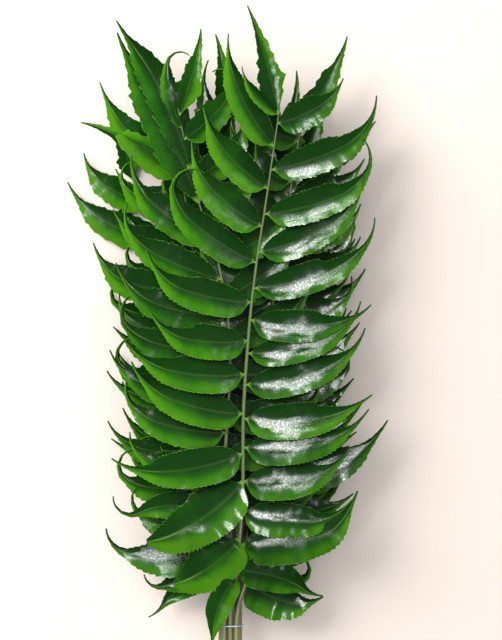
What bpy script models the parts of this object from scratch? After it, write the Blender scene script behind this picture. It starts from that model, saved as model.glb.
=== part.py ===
"""A bunch of holly fern fronds, laid flat and tied round the stems.

+Y points to the tips of the fronds, +X to the right in the photograph, +Z up to the camera.
Lengths below are millimetres, with x and y measured from the middle of the tie, until the end,
where the bunch is moved so that the origin is under the middle of its bounding box.
"""

import math
import random

import bmesh
import bpy
from mathutils import Vector

MM = 0.001

# The stems where they are tied: rows of a hexagonal stack, low to high.
STEM_RADIUS = 2.5
STEM_GAP = 0.3
STEM_PITCH = 2 * STEM_RADIUS + STEM_GAP
ROW_RISE = STEM_PITCH * math.sqrt(3) / 2
BUNDLE_HEIGHT = 24.0
STEM_END = -45.0

# The pile of fronds beyond the tie, each in a layer of its own.
RIB_RADIUS = 2.3
RIB_TIP_RADIUS = 1.0
RIB_STEPS = 5
ROD_SIDES = 6
RIB_DROP = 0.5
LAYER_PITCH = 7.0
FRONT_RISE = 1.5
SPREAD_START = 10.0
SPREAD_END = 130.0
FRONT_SPREAD_END = 100.0
FRONT_LIFT = 11.0
SAG_AT = 120.0
SAG_PER_LAYER = 1.1
BEND_START = 320.0
BEND_LENGTH = 220.0
TIP_RISE = 9.0
TIP_SAG = 0.8
REST_Y = 160.0
TAPER_START = 220.0

# A leaflet: half widths along it as shares of the widest, and the height of its waved margins.
BLADE_THICKNESS = 0.7
HOOK_START = 0.55
TILT = math.radians(9)
FRONT_TILT = math.radians(12)
ARCH = 1.2
STATIONS = (0.0, 0.09, 0.25, 0.45, 0.62, 0.66, 0.82, 1.0)
LOW_SIDE = (0.10, 0.78, 1.0, 0.95, 0.78, 0.64, 0.32, 0.03)
HIGH_SIDE = (0.10, 0.56, 0.92, 1.0, 0.74, 0.60, 0.26, 0.03)
WAVES = (0.0, 0.0, 0.3, -0.3, 0.3, 0.1, -0.2, 0.0)
PLAIN_STATIONS = (0.0, 0.11, 0.38, 0.62, 0.66, 0.82, 1.0)
PLAIN_LOW_SIDE = (0.10, 0.84, 1.0, 0.74, 0.58, 0.26, 0.03)
PLAIN_HIGH_SIDE = (0.10, 0.62, 1.0, 0.68, 0.54, 0.22, 0.03)
PLAIN_WAVES = (0.0, 0.3, -0.3, 0.3, 0.1, 0.0, 0.0)
END_STATIONS = (0.0, 0.16, 0.36, 0.42, 0.66, 0.72, 1.0)
END_LOW_SIDE = (0.12, 0.60, 1.0, 0.74, 0.50, 0.36, 0.03)
END_HIGH_SIDE = (0.12, 0.72, 0.96, 0.70, 0.56, 0.40, 0.03)
END_WAVES = (0.0, 0.3, -0.3, 0.2, -0.2, 0.2, 0.0)
BLUNT_STATIONS = (0.0, 0.09, 0.18, 0.32, 0.50, 0.68, 0.88, 1.0)
BLUNT_LOW_SIDE = (0.10, 0.62, 0.90, 1.0, 0.98, 0.90, 0.58, 0.12)
BLUNT_HIGH_SIDE = (0.10, 0.50, 0.80, 0.97, 1.0, 0.88, 0.48, 0.10)
BLUNT_WAVES = (0.0, 0.0, 0.3, -0.3, 0.3, 0.1, -0.2, 0.0)
BROAD_STATIONS = (0.0, 0.15, 0.32, 0.52, 0.66, 0.82, 1.0)
BROAD_LOW_SIDE = (0.08, 0.74, 1.0, 1.0, 0.86, 0.34, 0.03)
BROAD_HIGH_SIDE = (0.08, 0.80, 1.0, 0.98, 0.84, 0.38, 0.03)
BROAD_WAVES = (0.0, 0.3, -0.3, 0.3, 0.1, 0.0, 0.0)

# The tie.
TIE_RADIUS = 0.6
TIE_STEPS = 20

# Fronds from the bottom layer to the top one: place in the stack of stems as (row, slot), the rib's way across
# as (y, x) points, where its leaflets start on the left and on the right, and the end leaflet's tip and width.
FRONDS = (
    ((0, -0.5), ((0, -2), (60, -8), (150, -12), (250, -20), (330, -48), (398, -90)), (44, 122), (-106, 452, 20)),
    ((0, 0.5), ((0, 2), (60, 10), (150, 23), (250, 30), (395, 58)), (118, 52), (84, 474, 26)),
    ((1, 1.5), ((0, 7), (60, 9), (150, 14), (250, 24), (405, 46)), (128, 106), (60, 488, 26)),
    ((1, -0.5), ((0, -3), (60, -5), (150, -8), (250, -14), (392, -40)), (134, 122), (-60, 490, 26)),
    ((1, 0.5), ((0, 3), (60, 3), (150, 5), (250, 5), (436, -2)), (124, 138), (-11, 518, 26)),
    ((1, -1.5), ((0, -8), (60, -11), (150, -14), (250, -20), (340, -34), (408, -44)), (58, 124), (-129, 443, 26)),
    ((2, 1.0), ((0, 6), (45, 15), (112, 23), (250, 33), (440, 62)), (122, 38), (103, 514, 26)),
    ((2, -1.0), ((0, -5), (60, -8), (150, -4), (250, 0), (323, -11), (381, -30), (452, -45)), (68, 118), (-24, 519, 24)),
)
FRONT = (2, 0.0)
FRONT_RIB = ((0, 0), (45, 5), (112, 11), (190, 12), (264, 17), (317, 23), (369, 31), (452, 43))
FRONT_TIP = (16, 539, 23)
FRONT_BOW = 0.075

# Leaflets of the front frond, from the top down: height of the root, tip across and up, width, hook of the tip.
FRONT_RIGHT = (
    (438, 98, 477, 26, 5), (398, 130, 461, 28, 16), (360, 129, 418, 28, 18), (327, 118, 393, 28, 14),
    (296, 130, 351, 27, 12), (269, 122, 278, 28, 4), (240, 116, 280, 25, 10), (213, 119, 258, 28, 10),
    (184, 123, 204, 31, 6), (159, 121, 190, 29, 10), (130, 104, 156, 31, 10), (104, 106, 111, 30, 12),
    (74, 110, 128, 38, 30), (52, 76, 23, 30, -4),
)
FRONT_LEFT = (
    (446, 10, 486, 11, 2), (418, -2, 514, 26, 3), (382, -22, 453, 27, 6), (349, -34, 421, 30, 8),
    (318, -52, 403, 28, 18), (284, -73, 330, 30, 16), (251, -70, 276, 30, 12), (222, -91, 250, 30, 10),
    (188, -86, 231, 31, 10), (154, -101, 145, 33, 4), (130, -70, 76, 44, 0), (80, -48, 38, 41, 0),
    (46, -15, -20, 22, -2),
)

# Leaflets behind whose tips stand out of the pile, by frond: side, height of the root, tip across and up,
# width, hook of the tip, and bow where it isn't drawn.
STANDING_OUT = {
    1: ((-1, 44, -67, 2, 20, -8), (-1, 341, -146, 391, 30, 5), (-1, 373, -132, 417, 26, 5)),
    5: ((-1, 390, -24, 493, 26, 0),),
    6: ((-1, 58, -73, 31, 26, 0), (-1, 226, -108, 250, 31, 24), (-1, 295, -121, 339, 31, 20),
        (-1, 394, -114, 477, 28, 4)),
    7: ((1, 38, 82, 25, 38, 10), (1, 125, 138, 181, 33, 8)),
    8: ((-1, 68, -111, 74, 36, 6), (-1, 102, -97, 90, 24, -6), (-1, 171, -97, 211, 31, 14),
        (-1, 207, -106, 240, 31, 12), (-1, 239, -104, 279, 31, 14), (-1, 272, -100, 318, 30, 14),
        (-1, 304, -97, 362, 30, 12), (-1, 338, -88, 410, 28, 10), (-1, 370, -101, 514, 36, -4, -0.02),
        (-1, 398, -101, 526, 28, -4, -0.05), (-1, 434, -52, 505, 16, 3)),
}

# Leaflets with another cut than the sickle shape: side and height of the root.
BLUNT_ONES = ((-1, 130), (-1, 80))
BROAD_ONES = {8: ((-1, 370), (-1, 398))}

# The other leaflets behind follow a rule.
LEAFLET_STEP = 34.0
LEAFLET_LENGTH = 95.0
LOWEST_LENGTH = 0.72
LOWEST_Y = 40.0
FULL_LENGTH_Y = 150.0
LEAFLET_WIDTH = 32.0
SEED = 7


def clear_scene():
    for thing in list(bpy.data.objects):
        bpy.data.objects.remove(thing, do_unlink=True)


def leaf_material():
    material = bpy.data.materials.new("frond")
    material.use_nodes = True
    shader = material.node_tree.nodes["Principled BSDF"]
    shader.inputs["Base Color"].default_value = (0.03, 0.16, 0.015, 1.0)
    shader.inputs["Roughness"].default_value = 0.3
    return material


def tie_material():
    material = bpy.data.materials.new("tie")
    material.use_nodes = True
    shader = material.node_tree.nodes["Principled BSDF"]
    shader.inputs["Base Color"].default_value = (0.55, 0.66, 0.72, 1.0)
    shader.inputs["Roughness"].default_value = 0.5
    return material


def ease(share):
    """0 to 1 with a level start and end."""
    share = min(max(share, 0.0), 1.0)
    return share * share * (3 - 2 * share)


def mix(start, end, share):
    return start + (end - start) * share


def way_across(points, y):
    """x at this y on a smooth curve through (y, x) points, straight on past the last one."""
    last = len(points) - 2
    index = max(i for i in range(last + 1) if i == 0 or points[i][0] <= y)
    (y0, x0), (y1, x1) = points[index], points[index + 1]

    def slope(i):
        before, after = points[max(i - 1, 0)], points[min(i + 1, last + 1)]
        return (after[1] - before[1]) / (after[0] - before[0])

    if y < y0:
        return x0
    if y > y1:
        return x1 + slope(index + 1) * (y - y1)
    t, span = (y - y0) / (y1 - y0), y1 - y0
    start = (1 + 2 * t) * (1 - t) ** 2 * x0 + t * (1 - t) ** 2 * span * slope(index)
    end = t * t * (3 - 2 * t) * x1 + t * t * (t - 1) * span * slope(index + 1)
    return start + end


class Layer:
    """One frond's place: its rib from the tied stems to its tip, and the surface its leaflets lie in."""

    def __init__(self, number, place, way, front=False):
        row, slot = place
        self.slot_x = slot * STEM_PITCH
        self.bundle_z = BUNDLE_HEIGHT + (row - 1) * ROW_RISE
        lowest = RIB_RADIUS * (RIB_DROP + math.cos(math.pi / ROD_SIDES))
        self.layer_z = lowest + number * LAYER_PITCH + (FRONT_RISE if front else 0.0)
        self.sag = number * SAG_PER_LAYER
        self.spread_end = FRONT_SPREAD_END if front else SPREAD_END
        self.way = way
        self.top = way[-1][0]

    def spread(self, y):
        return ease((y - SPREAD_START) / (self.spread_end - SPREAD_START))

    def surface(self, x, y):
        level = mix(self.bundle_z, self.layer_z, self.spread(y))
        beyond = max(y - BEND_START, 0) / BEND_LENGTH
        level += (TIP_RISE - TIP_SAG * self.sag) * beyond**2
        return level - self.sag * (x / SAG_AT) ** 2 * self.spread(y)

    def rib_x(self, y):
        return mix(self.slot_x, way_across(self.way, y), ease((y + 5) / 50))

    def rib_radius(self, y):
        if y < TAPER_START:
            return mix(STEM_RADIUS, RIB_RADIUS, ease(y / 90))
        return mix(RIB_RADIUS, RIB_TIP_RADIUS, (y - TAPER_START) / (self.top - TAPER_START))

    def rib_point(self, y):
        x = self.rib_x(y)
        drop = RIB_DROP * self.rib_radius(y) * self.spread(y)
        return Vector((x, y, self.surface(x, y) - drop))

    def rib_way(self, y):
        """The rib's direction seen from above."""
        return Vector((self.rib_x(y + 1) - self.rib_x(y - 1), 2.0)).normalized()


def tube(name, points, radii, closed=False):
    """A round rod along these points, made a mesh so that it can be joined to other pieces."""
    curve = bpy.data.curves.new(name, "CURVE")
    curve.dimensions = "3D"
    curve.twist_mode = "Z_UP"
    curve.bevel_depth = MM
    curve.bevel_resolution = (ROD_SIDES - 4) // 2
    curve.use_fill_caps = not closed
    spline = curve.splines.new("POLY")
    spline.points.add(len(points) - 1)
    for knot, point, radius in zip(spline.points, points, radii):
        knot.co = (*(point * MM), 1.0)
        knot.radius = radius
    spline.use_cyclic_u = closed
    guide = bpy.data.objects.new(name + "_line", curve)
    PARTS.objects.link(guide)
    graph = bpy.context.evaluated_depsgraph_get()
    mesh = bpy.data.meshes.new_from_object(guide.evaluated_get(graph))
    weld_caps(mesh)
    bpy.data.objects.remove(guide, do_unlink=True)
    mesh.name = name
    rod = bpy.data.objects.new(name, mesh)
    PARTS.objects.link(rod)
    return rod


def weld_caps(mesh):
    shape = bmesh.new()
    shape.from_mesh(mesh)
    bmesh.ops.remove_doubles(shape, verts=shape.verts, dist=0.01 * MM)
    bmesh.ops.recalc_face_normals(shape, faces=shape.faces)
    shape.to_mesh(mesh)
    shape.free()


def rib(name, layer, stem_end):
    """Stem and rib in one rod with a flat side down, thinner towards its tip."""
    heights = [stem_end, 0, 20, 40, 60, 80, 100, SPREAD_END, REST_Y, TAPER_START]
    heights += [mix(TAPER_START, layer.top, (i + 1) / RIB_STEPS) for i in range(RIB_STEPS)]
    points = [layer.rib_point(y) for y in heights]
    radii = [layer.rib_radius(y) for y in heights]
    return tube(name, points, radii)


def middle_line(root, tip, side, bow, hook, share):
    """A point on a leaflet's middle line, seen from above, and the direction of its upper margin there."""
    chord = tip - root
    up = Vector((-chord.y, chord.x)).normalized() * side

    def at(s):
        bowed = 4 * bow * chord.length * s * (1 - s)
        hooked = hook * (max(s - HOOK_START, 0) / (1 - HOOK_START)) ** 2
        return root + (chord - up * hook) * s + up * (hooked - bowed)

    along = (at(share + 0.01) - at(share - 0.01)).normalized()
    return at(share), Vector((-along.y, along.x)) * side


def leaflet(
    layer, root_y, tip, width, side, outline,
    bow=0.07, hook=0.0, lift=0.0, tilt=TILT, hump=0.0, rise=0.0,
):
    """One blade, a grid laid along the middle line and given a thickness.

    Its lower margin stands over the leaflet below, and its upper margin goes under the next.
    """
    stations, low_side, high_side, waves = outline
    root = Vector((layer.rib_x(root_y), root_y))
    tip = Vector(tip)
    rows = (-1, 0, 1) if hump else (-1, 1)
    shape = bmesh.new()
    bmesh.ops.create_grid(shape, x_segments=len(stations) - 1, y_segments=len(rows) - 1, size=0.5)
    for vert in shape.verts:
        column = round((vert.co.x + 0.5) * (len(stations) - 1))
        row = rows[round((vert.co.y + 0.5) * (len(rows) - 1))]
        share = stations[column]
        middle, upward = middle_line(root, tip, side, bow, hook, share)
        across = row * (low_side[column] if row < 0 else high_side[column])
        reach = across * width / 2
        spot = middle + upward * reach
        open_out = ease(share / 0.12)
        height = layer.surface(spot.x, spot.y) + lift * share**2 + rise * open_out
        height -= (reach * math.sin(tilt) + hump * (across**2 - 0.4)) * open_out
        height -= row * waves[column]
        vert.co = Vector((spot.x, spot.y, height)) * MM
    mesh = bpy.data.meshes.new("blade")
    shape.to_mesh(mesh)
    shape.free()
    blade = bpy.data.objects.new("blade", mesh)
    split = blade.modifiers.new("split", "TRIANGULATE")
    split.quad_method = "FIXED"
    thick = blade.modifiers.new("thickness", "SOLIDIFY")
    thick.thickness = BLADE_THICKNESS * MM
    thick.offset = 0
    return blade


def fuse(body, blades):
    """One Boolean union of the rib with all the leaflets that grow from it."""
    joined = bpy.data.collections.new("blades")
    bpy.context.scene.collection.children.link(joined)
    for blade in blades:
        joined.objects.link(blade)
    union = body.modifiers.new("union", "BOOLEAN")
    union.operation = "UNION"
    union.operand_type = "COLLECTION"
    union.collection = joined
    bpy.context.view_layer.objects.active = body
    bpy.ops.object.modifier_apply(modifier=union.name)
    for blade in blades:
        bpy.data.objects.remove(blade, do_unlink=True)
    bpy.data.collections.remove(joined)


def finish(thing, material):
    thing.data.materials.clear()
    thing.data.materials.append(material)
    thing.data.shade_smooth()
    thing.data.set_sharp_from_angle(angle=math.radians(40))
    return thing


def rear_leaflets(layer, starts, standing_out, broad, draw):
    """Leaflets of a frond behind: more level and longer low down, steeper and shorter higher up."""
    blades = []
    for side, start in ((-1, starts[0]), (1, starts[1])):
        y = start
        while y < layer.top - 12:
            height = (y - 50) / (layer.top - 50)
            length = LEAFLET_LENGTH * (1 - 0.24 * height**2) * draw.uniform(0.92, 1.06)
            length *= mix(LOWEST_LENGTH, 1, ease((y - LOWEST_Y) / (FULL_LENGTH_Y - LOWEST_Y)))
            angle = math.radians(mix(8, 44, height) + draw.uniform(-5, 5))
            along = layer.rib_way(y)
            outward = Vector((along.y, -along.x)) * side
            root = Vector((layer.rib_x(y), y))
            tip = root + (outward * math.cos(angle) + along * math.sin(angle)) * length
            width = LEAFLET_WIDTH * mix(1, 0.82, height) * draw.uniform(0.94, 1.06)
            root_y = y
            bow, hook, lift = draw.uniform(0.05, 0.11), draw.uniform(2, 16), draw.uniform(-2.0, 2.0)
            for own_side, own_y, tip_x, tip_y, own_width, own_hook, *own_bow in standing_out:
                if own_side == side and abs(own_y - y) < LEAFLET_STEP / 2:
                    root_y, tip, width = own_y, (tip_x, tip_y), own_width
                    hook, bow = own_hook, own_bow[0] if own_bow else math.copysign(bow, own_hook)
            outline = BROAD if (side, root_y) in broad else PLAIN
            blades.append(leaflet(layer, root_y, tip, width, side, outline, bow, hook, lift))
            y += LEAFLET_STEP * draw.uniform(0.94, 1.04)
    return blades


def rear_frond(number, material):
    place, way, starts, (tip_x, tip_y, width) = FRONDS[number]
    draw = random.Random(SEED + number)
    layer = Layer(number, place, way)
    body = rib(f"frond_{number + 1}", layer, STEM_END + draw.uniform(0, 8))
    standing_out, broad = STANDING_OUT.get(number + 1, ()), BROAD_ONES.get(number + 1, ())
    blades = rear_leaflets(layer, starts, standing_out, broad, draw)
    blades.append(leaflet(layer, layer.top - 6, (tip_x, tip_y), width, 1, END, bow=0.02))
    fuse(body, blades)
    return finish(body, material)


def front_frond(material):
    number = len(FRONDS)
    layer = Layer(number, FRONT, FRONT_RIB, front=True)
    body = rib(f"frond_{number + 1}", layer, STEM_END)
    blades = []
    for side, table in ((1, FRONT_RIGHT), (-1, FRONT_LEFT)):
        for root_y, tip_x, tip_y, width, hook in table:
            rise = FRONT_LIFT * (1 - layer.spread(root_y))
            form = {"hook": hook, "tilt": FRONT_TILT, "hump": ARCH, "rise": rise}
            form["bow"] = math.copysign(FRONT_BOW, hook)
            outline = BLUNT if (side, root_y) in BLUNT_ONES else FULL
            blades.append(leaflet(layer, root_y, (tip_x, tip_y), width, side, outline, **form))
    tip_x, tip_y, width = FRONT_TIP
    blades.append(leaflet(layer, layer.top - 6, (tip_x, tip_y), width, 1, END, bow=0.02, hump=ARCH))
    fuse(body, blades)
    return finish(body, material)


def tie(material):
    """A thin cord drawn tight round all the stems: it follows the outermost stem on each side."""
    places = [frond[0] for frond in FRONDS] + [FRONT]
    stems = [Vector((slot * STEM_PITCH, (row - 1) * ROW_RISE + BUNDLE_HEIGHT)) for row, slot in places]
    reach = STEM_RADIUS + STEM_GAP + TIE_RADIUS
    points = []
    for step in range(TIE_STEPS):
        turn = 2 * math.pi * (step + 0.5) / TIE_STEPS
        outward = Vector((math.cos(turn), math.sin(turn)))
        furthest = max(stems, key=lambda stem: stem.dot(outward))
        spot = furthest + outward * reach
        points.append(Vector((spot.x, 0, spot.y)))
    ring = tube("tie", points, [TIE_RADIUS] * TIE_STEPS, closed=True)
    return finish(ring, material)


def put_on_origin(things):
    """Parent everything to an empty, placed so that the origin is under the middle of the bounding box."""
    corners = [vert.co for thing in things for vert in thing.data.vertices]
    low = [min(corner[i] for corner in corners) for i in range(3)]
    high = [max(corner[i] for corner in corners) for i in range(3)]
    bunch = bpy.data.objects.new("bunch", None)
    PARTS.objects.link(bunch)
    bunch.location = (-(low[0] + high[0]) / 2, -(low[1] + high[1]) / 2, -low[2])
    for thing in things:
        thing.parent = bunch


FULL = (STATIONS, LOW_SIDE, HIGH_SIDE, WAVES)
PLAIN = (PLAIN_STATIONS, PLAIN_LOW_SIDE, PLAIN_HIGH_SIDE, PLAIN_WAVES)
BLUNT = (BLUNT_STATIONS, BLUNT_LOW_SIDE, BLUNT_HIGH_SIDE, BLUNT_WAVES)
BROAD = (BROAD_STATIONS, BROAD_LOW_SIDE, BROAD_HIGH_SIDE, BROAD_WAVES)
END = (END_STATIONS, END_LOW_SIDE, END_HIGH_SIDE, END_WAVES)

clear_scene()
PARTS = bpy.data.collections.new("fern_bunch")
bpy.context.scene.collection.children.link(PARTS)
LEAF = leaf_material()
FROND_OBJECTS = [rear_frond(number, LEAF) for number in range(len(FRONDS))]
FROND_OBJECTS.append(front_frond(LEAF))
put_on_origin(FROND_OBJECTS + [tie(tie_material())])
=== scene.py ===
"""Finished model of a bunch of holly fern fronds, laid flat in layers and tied round the stems.

Each frond is a stem with its rib, and leaflets that are cut with teeth, waved, arched and laid on the same
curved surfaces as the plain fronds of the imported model. Lengths are millimetres, with x and y measured from
the middle of the tie, until a point is placed in the row frame.
"""

import math
import random

import bmesh
import bpy
from bpy.props import FloatProperty, FloatVectorProperty, PointerProperty
from bpy.types import Operator, Panel, PropertyGroup
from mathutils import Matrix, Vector


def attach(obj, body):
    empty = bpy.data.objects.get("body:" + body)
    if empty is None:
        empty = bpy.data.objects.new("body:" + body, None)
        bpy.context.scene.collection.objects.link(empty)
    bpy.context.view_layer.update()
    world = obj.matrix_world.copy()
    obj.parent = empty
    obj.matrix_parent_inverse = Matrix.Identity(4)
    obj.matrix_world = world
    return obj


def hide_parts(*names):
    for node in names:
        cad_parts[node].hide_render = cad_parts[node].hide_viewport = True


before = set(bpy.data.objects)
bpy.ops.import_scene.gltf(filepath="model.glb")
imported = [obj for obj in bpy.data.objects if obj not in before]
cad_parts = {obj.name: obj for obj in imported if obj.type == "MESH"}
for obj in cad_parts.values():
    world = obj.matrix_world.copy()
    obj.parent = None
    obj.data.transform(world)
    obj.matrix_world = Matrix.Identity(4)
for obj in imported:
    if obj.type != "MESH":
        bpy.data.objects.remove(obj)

bl_info = {
    "name": "Holly fern bunch",
    "version": (1, 0, 0),
    "blender": (4, 5, 0),
    "location": "View3D > Sidebar > Fern",
    "description": "Makes a tied bunch of holly fern fronds, laid on a pale floor",
    "category": "Object",
}

# Where the middle of the tie stands in the row frame, in millimetres, and a millimetre in metres.
MM = 0.001
BUNCH_AT = Vector((4.01, -247.072, 0.0))

# The stems where they are tied, stacked in rows that lie in each other's hollows.
STEM_RADIUS = 2.5
STEM_GAP = 0.3
STEM_PITCH = 2 * STEM_RADIUS + STEM_GAP
ROW_RISE = STEM_PITCH * math.sqrt(3) / 2
BUNDLE_HEIGHT = 24.0
STEM_END = -45.0

# The pile of fronds beyond the tie, each in a layer of its own.
RIB_RADIUS = 2.3
RIB_TIP_RADIUS = 0.8
RIB_DROP = 0.5
LOWEST_RIB = RIB_RADIUS * (RIB_DROP + math.cos(math.pi / 6))
LAYER_PITCH = 7.0
FRONT_RISE = 1.5
SPREAD_START = 10.0
SPREAD_END = 130.0
FRONT_SPREAD_END = 100.0
FRONT_LIFT = 11.0
SAG_AT = 120.0
SAG_PER_LAYER = 1.1
BEND_START = 320.0
BEND_LENGTH = 220.0
TIP_RISE = 9.0
TIP_SAG = 0.8
TAPER_START = 220.0

# Where a leaflet's hook and its rolled tail begin, and where its tip starts to rise, as shares of its length.
HOOK_START = 0.55
CURL_START = 0.80
RISING_TIP = 0.7

# Half widths along a leaflet, as shares of the widest: share of its length, lower side, upper side.
SIDE_OUTLINE = (
    (0.0, 0.06, 0.06), (0.025, 0.08, 0.08), (0.07, 0.62, 0.44), (0.14, 0.92, 0.74), (0.27, 1.0, 0.95),
    (0.45, 0.96, 1.0), (0.60, 0.80, 0.82), (0.72, 0.52, 0.50), (0.82, 0.22, 0.19), (0.91, 0.08, 0.07),
    (1.0, 0.03, 0.03),
)
BLUNT_OUTLINE = (
    (0.0, 0.08, 0.08), (0.03, 0.12, 0.12), (0.09, 0.62, 0.50), (0.18, 0.90, 0.80), (0.32, 1.0, 0.97),
    (0.50, 0.98, 1.0), (0.68, 0.90, 0.88), (0.82, 0.70, 0.62), (0.92, 0.45, 0.36), (1.0, 0.12, 0.10),
)
BROAD_OUTLINE = (
    (0.0, 0.06, 0.06), (0.05, 0.30, 0.34), (0.15, 0.74, 0.80), (0.32, 1.0, 1.0), (0.52, 1.0, 0.98),
    (0.66, 0.86, 0.84), (0.76, 0.58, 0.60), (0.82, 0.34, 0.38), (0.88, 0.16, 0.16), (1.0, 0.03, 0.03),
)
END_OUTLINE = (
    (0.0, 0.06, 0.06), (0.06, 0.16, 0.18), (0.16, 0.56, 0.66), (0.27, 0.86, 0.94), (0.345, 1.03, 1.0),
    (0.40, 0.76, 0.72), (0.50, 0.66, 0.66), (0.63, 0.52, 0.56), (0.69, 0.38, 0.38), (0.82, 0.20, 0.20),
    (0.92, 0.09, 0.09), (1.0, 0.03, 0.03),
)

# Fronds behind, from the bottom layer up: place in the stack of stems as (row, slot), the rib's way across as
# (y, x) points, where its leaflets start on the left and on the right, and the end leaflet's tip and width.
FRONDS = (
    ((0, -0.5), ((0, -2), (60, -8), (150, -12), (250, -20), (330, -48), (398, -90)),
     (44, 122), (-106, 452, 20)),
    ((0, 0.5), ((0, 2), (60, 10), (150, 23), (250, 30), (395, 58)),
     (118, 52), (84, 474, 26)),
    ((1, 1.5), ((0, 7), (60, 9), (150, 14), (250, 24), (405, 46)),
     (128, 106), (60, 488, 26)),
    ((1, -0.5), ((0, -3), (60, -5), (150, -8), (250, -14), (392, -40)),
     (134, 122), (-60, 490, 26)),
    ((1, 0.5), ((0, 3), (60, 3), (150, 5), (250, 5), (436, -2)),
     (124, 138), (-11, 518, 26)),
    ((1, -1.5), ((0, -8), (60, -11), (150, -14), (250, -20), (340, -34), (408, -44)),
     (58, 124), (-129, 443, 26)),
    ((2, 1.0), ((0, 6), (45, 15), (112, 23), (250, 33), (440, 62)),
     (122, 38), (103, 514, 26)),
    ((2, -1.0), ((0, -5), (60, -8), (150, -4), (250, 0), (323, -11), (381, -30), (452, -45)),
     (68, 118), (-24, 519, 24)),
)

# The frond in front, on top of them.
FRONT_PLACE = (2, 0.0)
FRONT_RIB = ((0, 0), (45, 5), (112, 11), (190, 12), (264, 17), (317, 23), (369, 31), (452, 43))
FRONT_TIP = (16, 539, 23)
FRONT_BOW = 0.075
FRONT_RAGGED = (0.03, 0.12)
RAGGED_FROM = 250
RAGGED_RUN = 200
PALE_BELOW = 100

# Leaflets of the front frond, from the top down: height of the root, tip across and up, width, and hook of
# the tip.
FRONT_RIGHT = (
    (438, 98, 477, 26, 5), (398, 130, 461, 28, 16), (360, 129, 418, 28, 18), (327, 118, 393, 28, 14),
    (296, 130, 351, 27, 12), (269, 122, 278, 28, 4), (240, 116, 280, 25, 10), (213, 119, 258, 28, 10),
    (184, 123, 204, 31, 6), (159, 121, 190, 29, 10), (130, 104, 156, 31, 10), (104, 106, 111, 30, 12),
    (74, 110, 128, 38, 30), (52, 76, 23, 30, -4),
)
FRONT_LEFT = (
    (446, 10, 486, 11, 2), (418, -2, 514, 26, 3), (382, -22, 453, 27, 6), (349, -34, 421, 30, 8),
    (318, -52, 403, 28, 18), (284, -73, 330, 30, 16), (251, -70, 276, 30, 12), (222, -91, 250, 30, 10),
    (188, -86, 231, 31, 10), (154, -101, 145, 33, 4), (130, -70, 76, 44, 0), (80, -48, 38, 41, 0),
    (46, -15, -20, 22, -2),
)

# Leaflets behind whose tips stand out of the pile, by frond: side, height of the root, tip across and up,
# width, hook of the tip, and bow where it isn't drawn.
STANDING_OUT = {
    1: ((-1, 44, -67, 2, 20, -8), (-1, 341, -146, 391, 30, 5), (-1, 373, -132, 417, 26, 5)),
    5: ((-1, 390, -24, 493, 26, 0),),
    6: ((-1, 58, -73, 31, 26, 0), (-1, 226, -108, 250, 31, 24), (-1, 295, -121, 339, 31, 20),
        (-1, 394, -114, 477, 28, 4)),
    7: ((1, 38, 82, 25, 38, 10), (1, 125, 138, 181, 33, 8)),
    8: ((-1, 68, -111, 74, 36, 6), (-1, 102, -97, 90, 24, -6), (-1, 171, -97, 211, 31, 14),
        (-1, 207, -106, 240, 31, 12), (-1, 239, -104, 279, 31, 14), (-1, 272, -100, 318, 30, 14),
        (-1, 304, -97, 362, 30, 12), (-1, 338, -88, 410, 28, 10), (-1, 370, -101, 514, 36, -4, -0.02),
        (-1, 398, -101, 526, 28, -4, -0.05), (-1, 434, -52, 505, 16, 3)),
}

# Leaflets of another cut than the sickle shape, by frond, side and height of the root.
CUTS = {
    (9, -1, 130): BLUNT_OUTLINE, (9, -1, 80): BLUNT_OUTLINE,
    (8, -1, 370): BROAD_OUTLINE, (8, -1, 398): BROAD_OUTLINE,
}

# Leaflets whose tail is rolled in, by frond, side and height of the root: how far it turns, in degrees.
ROLLED_IN = {
    (9, -1, 318): 150, (9, 1, 360): 80, (9, 1, 398): 35, (9, 1, 296): 45, (9, 1, 240): 40, (6, -1, 226): 130,
    (8, -1, 239): 120, (8, -1, 68): 70, (8, -1, 304): 60, (1, -1, 341): 20, (7, 1, 38): 25, (8, -1, 370): 12,
    (8, -1, 398): 6, (9, -1, 418): 15, (6, -1, 394): 10,
}

# Leaflets that are much wetter or drier than others on their side, by frond, side and height of the root.
WET = {
    (9, -1, 130): 1.6, (9, -1, 80): 0.4, (9, -1, 154): 0.3, (8, -1, 370): 0.35, (8, -1, 398): 0.2,
    (7, 1, 38): 1.2,
}

# Leaflets whose margins are waved far more than the others', by frond, side and height of the root.
WAVED = {(9, 1, 74): 1.7, (9, 1, 52): 1.8, (7, 1, 38): 2.2, (9, -1, 130): 1.8, (6, -1, 58): 1.8}

# The other leaflets behind follow a rule: they get shorter at both ends of the rib, and narrower, steeper and
# more ragged towards its tip.
LEAFLET_STEP = 34.0
LEAFLET_LENGTH = 95.0
LOWEST_LENGTH = 0.72
LOWEST_Y = 40.0
FULL_LENGTH_Y = 150.0
TOP_SHORTENED = 0.24
LEAFLET_WIDTH = 32.0
TOP_WIDTH = 0.82
SLANT_START = 50.0
LOWEST_SLANT, TOP_SLANT = 8, 44
LOWEST_RAGGED, TOP_RAGGED = 0.04, 0.20
END_BARE = 12
SEED = 7

# The sheen of water along a leaflet: where it sets in and where it ends, as stretches of its length.
REAR_FILM = ((0.30, 0.55), (0.72, 0.98))
FRONT_FILM = ((0.02, 0.10), (0.26, 0.82))

# Blanks that leaflets are laid from, as columns along and rows across, and their teeth: the start and end of
# each stretch of the margin, and how far its teeth stand out.
FRONT_BLANK = (60, 12)
REAR_BLANK = (40, 6)
TEETH = ((0.10, 0.36, 1.04), (0.36, 0.60, 1.06), (0.60, 0.80, 1.12), (0.80, 0.95, 1.20))

# A stem's sides, its steps below the tie and the length of those above it, and the angle, in degrees, from
# which an edge stays sharp.
STEM_SIDES = 12
BARE_STEPS = 5
RIB_STEP = 9
SHARP_EDGE = 50

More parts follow.
